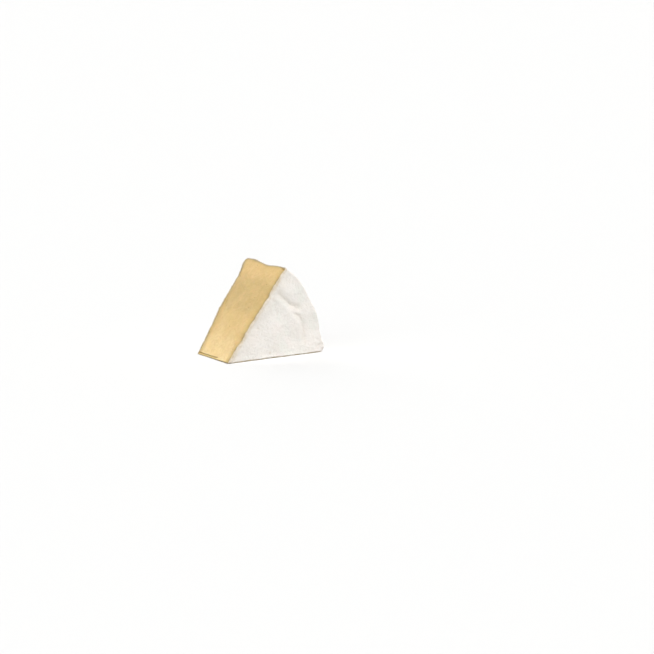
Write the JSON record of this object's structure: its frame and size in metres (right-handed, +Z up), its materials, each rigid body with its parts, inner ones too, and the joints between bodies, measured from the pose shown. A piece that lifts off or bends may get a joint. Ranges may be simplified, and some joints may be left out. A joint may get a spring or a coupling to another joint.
{
  "type": "brie wedge",
  "caption": "Wedge cut from a small round of soft-ripened brie, standing on a cut face, with white bloomy rind on its round faces and side wall and golden paste on its cuts.",
  "frame": {"origin": "centre of the wedge's box on the surface that it rests on, under the lower cut face", "axes": "+X from the tip towards the rim, +Y through the thickness towards the soft-edged round face, +Z up"},
  "size_m": [0.0516, 0.0334, 0.0415],
  "materials": {
    "rind": "matt, velvety white mould bloom, faintly mottled pink and green-grey",
    "paste": "smooth, dense, softly moist golden paste, satin"
  },
  "bodies": {
    "root": {"brie_wedge": "rind"}
  },
  "joints": []
}
